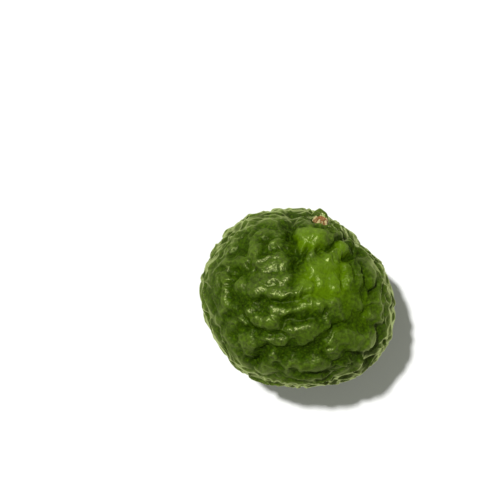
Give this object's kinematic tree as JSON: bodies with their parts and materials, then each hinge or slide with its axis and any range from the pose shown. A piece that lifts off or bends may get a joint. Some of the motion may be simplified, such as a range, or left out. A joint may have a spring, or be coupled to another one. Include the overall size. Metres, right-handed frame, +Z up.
{
  "type": "bergamot orange",
  "caption": "Whole green bergamot orange with a deeply warty, folded rind and a dry stem button, lying on its side on a small flat spot.",
  "frame": {"origin": "on the floor, in the middle of the small flat spot that the fruit lies on, straight below the middle of its body", "axes": "+Z up; the stem end points along +Y, turned 16 degrees towards +X and lifted 26 degrees; +X runs across the fruit"},
  "size_m": [0.0655, 0.0601, 0.0631],
  "materials": {
    "rind": "waxy, semi-gloss green citrus rind with fine oil glands",
    "dry_stem": "dry, matt, pale orange-brown broken stem and calyx"
  },
  "bodies": {
    "root": {"fruit": "rind", "stem_button": "dry_stem"}
  },
  "joints": []
}
